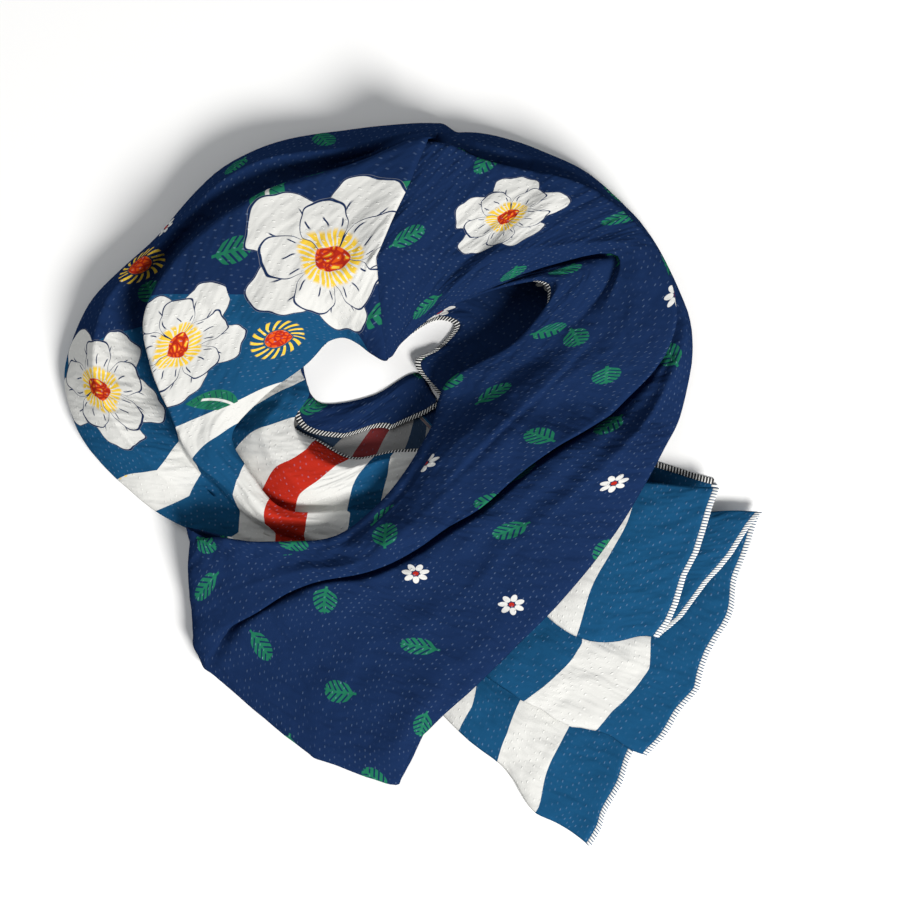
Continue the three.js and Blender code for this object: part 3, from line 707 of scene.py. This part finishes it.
def blend(factor, first, second, kind="Color"):
    # kind is Color or Vector, and a colour can be given by its name
    made = node("ShaderNodeMix", {"Factor": factor}, data_type="VECTOR" if kind == "Vector" else "RGBA")
    sockets = {socket.identifier: socket for socket in (*made.inputs, *made.outputs)}
    for end, value in (("A_", first), ("B_", second)):
        feed(sockets[end + kind], (*colours[value], 1.0) if isinstance(value, str) else value)
    return sockets["Result_" + kind]


def squares(x, y):
    return maths("ADD", times(x, x), times(y, y))


def polar(x, y):
    # the distance from the middle, and the turn around it counted in whole turns
    turn = maths("DIVIDE", maths("ARCTAN2", y, x), 2 * math.pi)
    return maths("SQRT", squares(x, y)), turn


def offMiddle(value):
    # how far the value's fraction is from a half
    return maths("ABSOLUTE", minus(maths("FRACT", value), 0.5))


def softNoise(place, scale, detail):
    return node("ShaderNodeTexNoise", {"Vector": place, "Scale": scale, "Detail": detail}).outputs


def chanceOf(across, row):
    # one random value and colour for each cell
    cell = joined(maths("FLOOR", across), row)
    return node("ShaderNodeTexWhiteNoise", {"Vector": cell}, noise_dimensions="2D").outputs


def bumped(height, distance, **under):
    given = {"Strength": 0.8, "Distance": distance, "Height": height, **under}
    return node("ShaderNodeBump", given).outputs["Normal"]


def grouped(group, **values):
    return node("ShaderNodeGroup", values, node_tree=group).outputs


def newGroup(name, inputs, outputs):
    group = bpy.data.node_groups.new(name, "ShaderNodeTree")
    kinds = {"Place": "NodeSocketVector", "Mask": "NodeSocketFloat"}
    for direction, sockets in (("INPUT", inputs), ("OUTPUT", outputs)):
        for socket in sockets:
            kind = kinds.get(socket, "NodeSocketColor")
            group.interface.new_socket(socket, in_out=direction, socket_type=kind)
    return group.nodes.new("NodeGroupInput").outputs, group.nodes.new("NodeGroupOutput").inputs


def handOut(made, **values):
    for name, value in values.items():
        feed(made[name], value)
    return made[0].id_data


# The motifs' lengths are shares of their radius. A pair is where a soft edge starts and where it is
# full, and four numbers are a window's: low, full, the end of full, and high.
speckle = {"orange": (0.1, 0.16), "seed": (0.26, 0.32)}


def speckled(place, scale):
    # orange cells with red seams, and the distance from the seams
    cells = node("ShaderNodeTexVoronoi", {"Vector": place, "Scale": scale}, feature="DISTANCE_TO_EDGE")
    seams = cells.outputs["Distance"]
    return blend(fade(seams, *speckle["orange"]), "red", "orange"), seams


# A plain open blossom: two rings of broad petals, a ring of stamens and a round heart.
blossomShape = {
    "petals": 5.0, "rings": ((0.0, 1.0, 0.5), (0.5, 0.74, 0.42)),  # each ring's turn, size and notch
    "roundness": 3.2, "frill": 0.13, "frillScale": 2.6, "rim": (-0.004, 0.004),
    "outline": (0.028, 0.022), "parting": (0.011, 0.006),
    "veins": 3.0, "vein": (0.026, 0.016), "veinStart": (0.36, 0.4), "veinEnd": (0.66, 0.72),
    "stamens": 26.0, "stamen": (0.3, 0.36), "stamenReach": (0.17, 0.19, 0.32, 0.37),
    "heart": (0.185, 0.17), "cells": 11.0,
}


def makeBlossom():
    shape = blossomShape
    given, made = newGroup("blossom", ["Place"], ["Colour", "Mask"])
    frill = softNoise(given["Place"], shape["frillScale"], 1.0)["Color"]
    wander = vectors("MULTIPLY", vectors("SUBTRACT", frill, midGrey), (2.0 * shape["frill"],) * 3)
    place = vectors("ADD", given["Place"], wander)
    radius, turn = polar(*parts(place))
    colour, mask = "white", 0.0
    for start, size, notch in shape["rings"]:
        offset = offMiddle(maths("MULTIPLY_ADD", turn, shape["petals"], start + 0.5))
        bulge = maths("POWER", times(offset, 2.0), shape["roundness"])
        inside = minus(maths("MULTIPLY_ADD", bulge, (notch - 1.0) * size, size), radius)
        petal = fade(inside, *shape["rim"])
        outline = times(petal, fade(inside, *shape["outline"]))
        gap = times(minus(0.5, offset), radius)
        parting = times(petal, fade(gap, *shape["parting"]))
        veins = offMiddle(times(turn, shape["petals"] * shape["veins"]))
        vein = times(fade(times(veins, radius), *shape["vein"]),
                     window(radius, *shape["veinStart"], *(size * end for end in shape["veinEnd"])))
        ink = maths("MAXIMUM", maths("MAXIMUM", outline, parting), vein)
        colour = blend(ink, blend(petal, colour, "white"), "navy")
        mask = maths("MAXIMUM", mask, petal)
    rays = maths("FRACT", times(turn, shape["stamens"]))
    stamen = times(fade(rays, *shape["stamen"]), window(radius, *shape["stamenReach"]))
    colour = blend(stamen, colour, "yellow")
    heart = fade(radius, *shape["heart"])
    speckles, seams = speckled(place, shape["cells"])
    colour = blend(heart, colour, speckles)
    seeds = times(heart, fade(seams, *speckle["seed"]))
    return handOut(made, Colour=blend(seeds, colour, "yellow"), Mask=mask)


# A plain pointed leaf with a pale midrib, and a round yellow tuft without petals.
leafShape = {
    "width": 0.34, "bend": 0.22, "edge": (-0.01, 0.01), "rib": (0.05, 0.03), "ribEnd": (0.55, 0.5),
    "veins": 5.0, "slant": 0.9, "vein": (0.14, 0.1), "veinEnd": (0.03, 0.06),
}
tuftShape = {
    "curl": 0.1, "rays": 17.0, "ray": (0.23, 0.17), "rayReach": (0.5, 0.56, 0.93, 1.0),
    "heart": (0.48, 0.45), "cells": 4.4,
}


def makeLeaf():
    shape = leafShape
    given, made = newGroup("leaf", ["Place"], ["Colour", "Mask"])
    x, y = parts(given["Place"])
    square = times(x, x)
    bent = maths("ABSOLUTE", minus(y, times(square, shape["bend"])))
    inside = minus(times(minus(1.0, square), shape["width"]), bent)
    rib = times(fade(bent, *shape["rib"]), fade(x, *shape["ribEnd"]))
    slanted = minus(x, times(bent, shape["slant"]))
    veins = maths("FRACT", times(slanted, shape["veins"]))
    vein = times(fade(veins, *shape["vein"]), fade(inside, *shape["veinEnd"]))
    colour = blend(rib, blend(vein, "green", "navy"), "white")
    return handOut(made, Colour=colour, Mask=fade(inside, *shape["edge"]))


def makeTuft():
    shape = tuftShape
    given, made = newGroup("tuft", ["Place"], ["Colour", "Mask"])
    radius, turn = polar(*parts(given["Place"]))
    curl = maths("MULTIPLY_ADD", radius, shape["curl"], turn)
    rays = fade(offMiddle(times(curl, shape["rays"])), *shape["ray"])
    ray = times(rays, window(radius, *shape["rayReach"]))
    heart = fade(radius, *shape["heart"])
    colour = blend(heart, "yellow", speckled(given["Place"], shape["cells"])[0])
    return handOut(made, Colour=colour, Mask=maths("MAXIMUM", ray, heart))


# The scattered print: a green frond or a white daisy in each cell, turned by chance.
scatter = {"cell": 0.064, "rowShare": 0.86, "daisies": 0.27}
frondShape = {
    "length": 0.0104, "width": 0.76, "slant": 0.75, "pitch": 0.4, "gap": (0.3, 0.38), "rim": (0.0, 0.0004),
    "stem": (0.0011, 0.0007), "stemLow": 0.0015, "stemEnd": (1.1, 1.05),
}
daisyShape = {
    "petals": 7.0, "halfWidth": 0.00235, "halfLength": 0.0031, "middle": 0.0054, "rim": (1.0, 0.8),
    "eye": (0.0019, 0.0016),
}


def frondMask(x, y):
    size = frondShape["length"]
    side = maths("ABSOLUTE", x)
    share = maths("DIVIDE", y, size)
    bow = maths("MAXIMUM", 0.0, minus(1.0, times(share, share)))
    envelope = times(maths("SQRT", bow), size * frondShape["width"])
    slanted = minus(y, times(side, frondShape["slant"]))
    leaflets = maths("FRACT", maths("DIVIDE", slanted, size * frondShape["pitch"]))
    leaflet = times(fade(leaflets, *frondShape["gap"]),
                    fade(minus(envelope, side), *frondShape["rim"]))
    end = maths("ABSOLUTE", maths("ADD", y, frondShape["stemLow"]))
    stem = times(fade(side, *frondShape["stem"]),
                 fade(end, *(size * share for share in frondShape["stemEnd"])))
    return maths("MAXIMUM", leaflet, stem)


def daisyMasks(x, y):
    radius, turn = polar(x, y)
    spoke = times(offMiddle(times(turn, daisyShape["petals"])), radius)
    aside = maths("DIVIDE", spoke, daisyShape["halfWidth"])
    out = maths("DIVIDE", minus(radius, daisyShape["middle"]), daisyShape["halfLength"])
    petals = fade(squares(aside, out), *daisyShape["rim"])
    return petals, fade(radius, *daisyShape["eye"])


def makeScatter():
    given, made = newGroup("scatter", ["Place", "Ground"], ["Colour"])
    x, y = parts(given["Place"])
    height = scatter["cell"] * scatter["rowShare"]
    rowPlace = maths("DIVIDE", y, height)
    row = maths("FLOOR", rowPlace)
    across = maths("MULTIPLY_ADD", row, 0.5, maths("DIVIDE", x, scatter["cell"]))
    chance = chanceOf(across, row)["Value"]
    inCell = [times(minus(maths("FRACT", spot), 0.5), size)
              for spot, size in ((across, scatter["cell"]), (rowPlace, height))]
    x, y = parts(turned(joined(*inCell), times(chance, 6.283)))
    frond = frondMask(x, y)
    daisy, eye = daisyMasks(x, y)
    green = fade(chance, scatter["daisies"], scatter["daisies"] + 0.0001)
    white = minus(1.0, green)
    colour = blend(times(frond, green), given["Ground"], "green")
    colour = blend(times(daisy, white), colour, "white")
    return handOut(made, Colour=blend(times(eye, white), colour, "red"))


# The cloth's own weave: short raised dashes on a staggered grid, each moved a little by chance.
weave = {
    "pitch": 0.0054, "row": 0.0036, "jitter": 0.3, "faint": (0.0, 1.2),
    "side": (0.00062, 0.00022), "end": (0.0011, 0.0005),
}


def makeWeave():
    given, made = newGroup("weave", ["Place"], ["Mask"])
    x, y = parts(given["Place"])
    rowPlace = maths("DIVIDE", x, weave["row"])
    row = maths("FLOOR", rowPlace)
    place = maths("MULTIPLY_ADD", row, 0.5, maths("DIVIDE", y, weave["pitch"]))
    chance = chanceOf(place, row)
    moves = parts(vectors("SUBTRACT", chance["Color"], midGrey))
    dash = fade(chance["Value"], *weave["faint"])
    for spot, move, size, edge in ((rowPlace, moves[0], weave["row"], weave["side"]),
                                   (place, moves[1], weave["pitch"], weave["end"])):
        middle = maths("MULTIPLY_ADD", move, weave["jitter"], 0.5)
        apart = times(minus(maths("FRACT", spot), middle), size)
        dash = times(dash, fade(maths("ABSOLUTE", apart), *edge))
    return handOut(made, Mask=dash)


# The blossoms, tufts and leaves: the place in plan where the laid cloth shows them, size and turn.
flowers = {
    "leaf": [((-0.098, 0.196), 0.026, 2.4), ((-0.012, 0.196), 0.025, 0.5), ((0.028, 0.116), 0.022, -0.9),
             ((-0.128, 0.058), 0.021, -1.3), ((-0.214, 0.008), 0.022, 1.1)],
    "tuft": [((-0.088, 0.098), 0.018, 0.0), ((-0.183, 0.15), 0.017, 0.0), ((-0.19, -0.005), 0.018, 0.0)],
    "blossom": [((-0.152, 0.096), 0.042, 0.3), ((-0.057, 0.153), 0.056, 1.1), ((0.064, 0.182), 0.033, 0.6),
                ((-0.213, 0.07), 0.046, 0.8)],
}
# The stripes in their order, how many the ramp holds, where navy starts, and how far they waver.
stripes = {
    "order": "teal white teal white teal white teal white red white teal white".split(),
    "count": 40.0, "navy": 15.4, "waver": 0.34, "waverPlace": (0.03, 0.5, 0.0), "waverScale": 24.0,
}
# The cloth's surface: flecks of the weave, and the painted shade that darkens the reverse where it lies in
# the shadowed opening, standing also for the reverse's duller print.
clothLook = {
    "roughness": 0.86, "fleckPale": (0.2, 0.5), "fleckGain": 1.3, "fleckLeast": 0.085, "fleckMost": 0.7,
    "shadeReach": (3.0, 5.0, 12.0, 14.0), "grainScale": 900.0, "grain": 0.35, "grainDepth": 0.0004,
    "dentStretch": (1.0, 2.2, 1.0), "dentScale": 34.0, "dentDepth": 0.0052,
}
groups = {"blossom": makeBlossom(), "leaf": makeLeaf(), "tuft": makeTuft()}
scatterGroup = makeScatter()
weaveGroup = makeWeave()


def stripedGround(sheet):
    count = stripes["count"]
    ramp = node("ShaderNodeValToRGB", {"Fac": maths("DIVIDE", sheet, count)})
    ramp.color_ramp.interpolation = "CONSTANT"
    elements = ramp.color_ramp.elements
    elements.remove(elements[-1])
    stops = [*enumerate(stripes["order"]), (len(stripes["order"]), "teal"), (stripes["navy"], "navy")]
    for start, colour in stops:
        element = elements.new(start / count) if start else elements[0]
        element.position = start / count
        element.color = (*colours[colour], 1.0)
    return ramp.outputs["Color"]


def nearestMotif(place, placed):
    # the place within whichever motif is near, and far from all where none is
    spot = (9.0, 9.0, 0.0)
    for centre, size, turn in placed:
        local = vectors("SUBTRACT", place, (*printPlace(centre), 0.0))
        local = vectors("DIVIDE", turned(local, turn), (size, size, 1.0))
        near = maths("LESS_THAN", vectors("LENGTH", local), 1.1)
        spot = blend(near, spot, local, "Vector")
    return spot


def printMaterial(name, shade):
    # the face's print, or with shade the reverse: the same ground without the large motifs, darkened by
    # painted shade where it lies in the opening
    matt = {"Specular IOR Level": 0.0}
    material, shader = plainMaterial(name, colours["unprinted"], clothLook["roughness"], matt)
    tree = material.node_tree
    sheetMap, place = (node("ShaderNodeUVMap", (), tree, uv_map=layer).outputs["UV"]
                       for layer in ("sheet", "print"))
    sheet, sheetAcross = parts(sheetMap)
    waverPlace = vectors("MULTIPLY", joined(sheet, sheetAcross), stripes["waverPlace"])
    waver = minus(softNoise(waverPlace, stripes["waverScale"], 0.0)["Fac"], 0.5)
    sheet = maths("MULTIPLY_ADD", waver, stripes["waver"], sheet)
    colour = stripedGround(sheet)
    scattered = grouped(scatterGroup, Place=place, Ground=colour)["Colour"]
    colour = blend(fade(sheet, stripes["navy"], stripes["navy"] + 0.01), colour, scattered)
    flowered = fade(sheet, len(stripes["order"]) - 0.01, len(stripes["order"]))
    for kind, placed in ({} if shade else flowers).items():
        motif = grouped(groups[kind], Place=nearestMotif(place, placed))
        colour = blend(times(motif["Mask"], flowered), colour, motif["Colour"])
    dash = grouped(weaveGroup, Place=place)["Mask"]
    bright = node("ShaderNodeRGBToBW", {"Color": colour}).outputs["Val"]
    fleck = blend(fade(bright, *clothLook["fleckPale"]), "paleBlue", "thread")
    shown = maths("MULTIPLY_ADD", bright, clothLook["fleckGain"], clothLook["fleckLeast"])
    shown = maths("MINIMUM", shown, clothLook["fleckMost"])
    colour = blend(times(dash, shown), colour, fleck)
    if shade:
        # painted shade: near black mixed in over the sheet's striped stretch, for the shadow in the opening
        # and the reverse's duller print
        inside = window(sheet, *clothLook["shadeReach"])
        colour = blend(times(inside, shade), colour, "shade")
    feed(shader["Base Color"], colour)
    grain = softNoise(place, clothLook["grainScale"], 2.0)["Fac"]
    dentPlace = vectors("MULTIPLY", place, clothLook["dentStretch"])
    dents = softNoise(dentPlace, clothLook["dentScale"], 2.0)["Fac"]
    height = maths("MULTIPLY_ADD", grain, clothLook["grain"], dash)
    dented = bumped(dents, clothLook["dentDepth"])
    feed(shader["Normal"], bumped(height, clothLook["grainDepth"], Normal=dented))
    return material


mesh = gridMesh("printedCloth", cloth)
printCoordinates(mesh)
# the reverse gets 0.62 of painted shade in the opening, and the face gets none
clothMaterials = [printMaterial("clothReverse", 0.62), printMaterial("printedCloth", 0.0)]
piece = finishPiece("printedCloth", mesh, clothMaterials)
thicken = piece.modifiers.new("thickness", "SOLIDIFY")
thicken.thickness = laid["cloth"]
thicken.offset = 0.0
thicken.material_offset = 1
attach(piece, "root")
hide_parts("cloth")
print("scarf: printed cloth")


# The overlocked edges. A stitch has four rings: each one's place in the stitch, and whether the thread
# lies there and not the waist between two threads.
overlock = {
    "inside": 0.001, "outside": 0.0034, "halfThick": 0.0007, "waist": 0.78, "waistReach": 0.93,
    "pitch": 0.0021, "slant": 0.0003, "around": 10, "squareness": 0.7, "lowest": 0.0001,
    "roughness": 0.75, "sheen": 0.1,
    "rings": ((0.04, True), (0.7, True), (0.75, False), (0.99, False)),
}


def overlockEdge(name, replaced, edge, inward, normals, materials):
    length = lengthAlong(edge)
    outward = unit(edge - inward)
    stitches = int(length[-1] / overlock["pitch"])
    pitch = length[-1] / stitches
    angles = np.linspace(0.0, 2 * math.pi, overlock["around"] + 1)
    halfReach = (overlock["inside"] + overlock["outside"]) / 2
    middle = (overlock["outside"] - overlock["inside"]) / 2
    flat, thick = (np.sign(wave) * np.abs(wave) ** overlock["squareness"]
                   for wave in (np.cos(angles), np.sin(angles)))

    def sample(values, spots):
        return np.stack([np.interp(spots, length, values[:, axis]) for axis in range(3)], axis=1)

    rings = []
    for stitch in range(stitches):
        for share, isThread in overlock["rings"]:
            reach = middle + halfReach * flat * (1.0 if isThread else overlock["waistReach"])
            rise = overlock["halfThick"] * thick * (1.0 if isThread else overlock["waist"])
            spots = (stitch + share) * pitch + overlock["slant"] * flat
            rings.append(sample(edge, spots) + sample(outward, spots) * reach[:, None]
                         + sample(normals, spots) * rise[:, None])
    grid = np.array(rings)
    grid[..., 2] = np.maximum(grid[..., 2], overlock["lowest"])
    mesh = gridMesh(name, grid)
    for face in mesh.faces:
        ring = min(vert.index // grid.shape[1] for vert in face.verts)
        face.material_index = 0 if ring % len(overlock["rings"]) == 0 else 1
    bmesh.ops.remove_doubles(mesh, verts=mesh.verts[:], dist=1e-7)
    bmesh.ops.holes_fill(mesh, edges=mesh.edges[:], sides=0)
    bmesh.ops.recalc_face_normals(mesh, faces=mesh.faces[:])
    band = finishPiece(name, mesh, materials)
    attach(band, "root")
    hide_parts(replaced)


darkThread, whiteThread, underTeal = (
    plainMaterial(name, colours[colour], overlock["roughness"], {"Sheen Weight": overlock["sheen"]})[0]
    for name, colour in (("darkThread", "black"), ("whiteThread", "thread"), ("clothUnderWhite", "teal"))
)
hemmed = places <= order["tail brow"]
threads = {"dark_overlock": [darkThread, whiteThread], "white_overlock": [whiteThread, underTeal]}
edges = {
    "firstLongOverlock": ("first_long_hem", "dark_overlock", (hemmed, 0), (hemmed, 1)),
    "secondLongOverlock": ("second_long_hem", "dark_overlock", (hemmed, -1), (hemmed, -2)),
    "stripedEndOverlock": ("striped_end_hem", "white_overlock", 0, 1),
    "plainEndOverlock": ("plain_end_hem", "white_overlock", -1, -2),
}
for name, (replaced, slot, edge, inward) in edges.items():
    overlockEdge(name, replaced, cloth[edge], cloth[inward], normals[edge], threads[slot])
print("scarf: overlocked edges")
